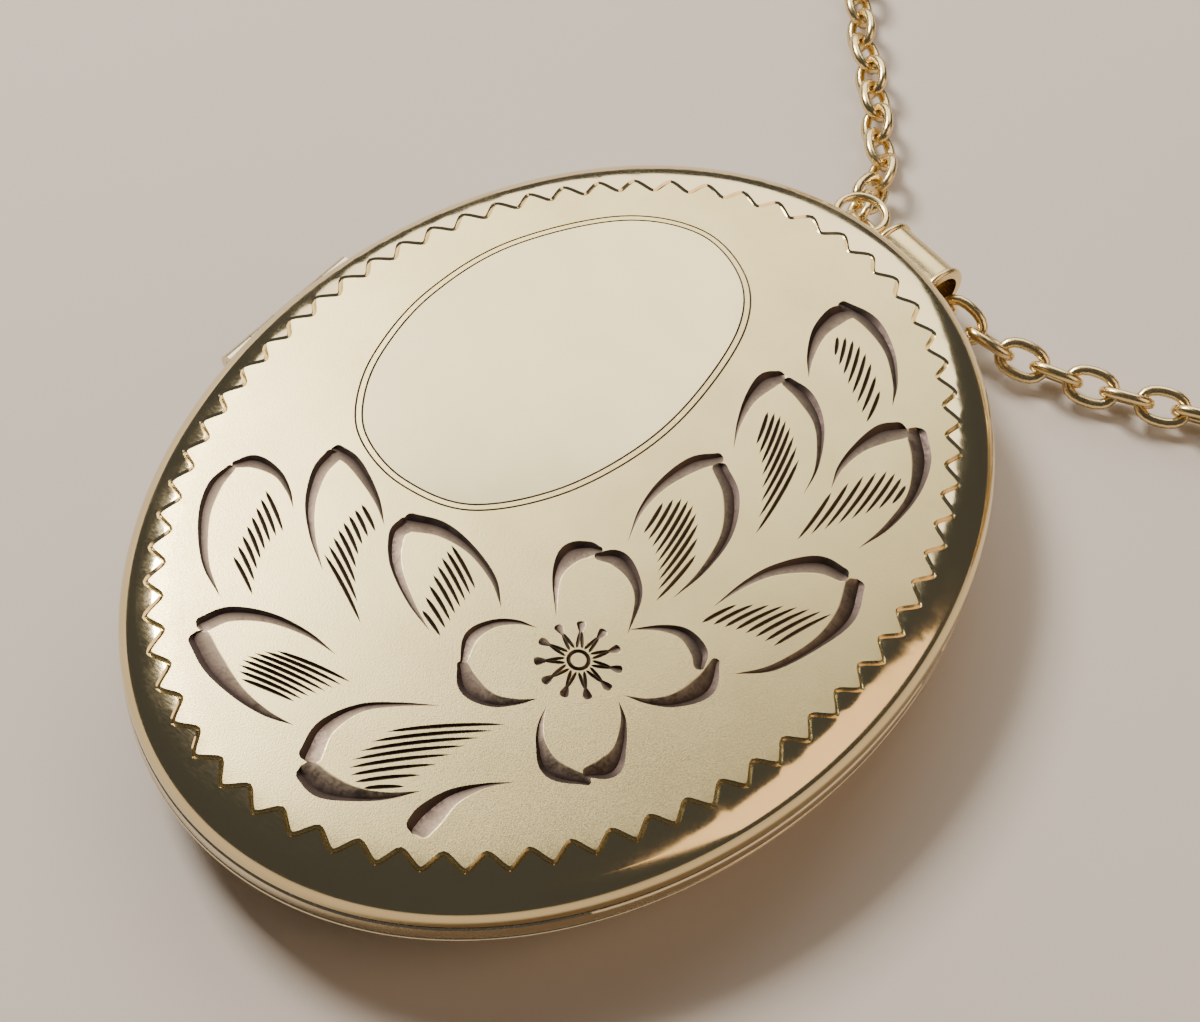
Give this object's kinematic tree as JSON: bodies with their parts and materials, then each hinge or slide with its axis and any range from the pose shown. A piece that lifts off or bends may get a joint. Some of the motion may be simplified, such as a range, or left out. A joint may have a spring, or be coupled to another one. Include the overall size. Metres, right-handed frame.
{
  "type": "locket",
  "caption": "Oval hinged locket with an engraved satin front, two picture frames inside and a fine cable chain with a spring ring clasp.",
  "frame": {"origin": "centre of the flat on the back cover", "axes": "+Z out of the engraved front, +Y along the oval towards the bail, +X towards the thumb notch; the hinge is on the -X side"},
  "size_m": [0.0517, 0.0766, 0.0058],
  "materials": {
    "satin_gold": "satin",
    "polished_gold": "polished",
    "chain_gold": "polished",
    "pin_steel": "satin",
    "clear_acetate": "gloss",
    "picture_card": "matte"
  },
  "bodies": {
    "back_half": {"back_cover": "polished_gold", "back_frame": "polished_gold", "back_bezel": "polished_gold", "back_window": "clear_acetate", "back_picture": "picture_card", "back_knuckles": "polished_gold", "hinge_pin": "pin_steel", "bail_tube": "polished_gold", "bail_ring": "polished_gold", "chain_left": "chain_gold", "chain_left_coil": "chain_gold", "chain_left_end": "chain_gold", "chain_right": "chain_gold", "chain_right_coil": "chain_gold", "chain_right_end": "chain_gold", "clasp_body": "polished_gold", "clasp_spring": "pin_steel", "clasp_link": "chain_gold", "end_ring": "chain_gold"},
    "front_half": {"front_cover": "satin_gold", "front_frame": "polished_gold", "front_bezel": "polished_gold", "front_window": "clear_acetate", "front_picture": "picture_card", "front_knuckles": "polished_gold", "catch_tongue": "polished_gold"},
    "clasp_bolt": {"clasp_bolt": "polished_gold"}
  },
  "joints": [
    {"name": "cover_hinge", "type": "hinge", "parent": "back_half", "child": "front_half", "pos_m": [-0.0145, 0, 0.0034], "axis": [0, -1, 0], "range_deg": [0, 155]},
    {"name": "clasp_bolt_slide", "type": "hinge", "parent": "back_half", "child": "clasp_bolt", "pos_m": [0.0235, 0.0425, 0.0011], "axis": [0, 0, -1], "range_deg": [0, 48], "stiffness_Nm_per_rad": 0.00002, "springref_deg": -17.19}
  ]
}
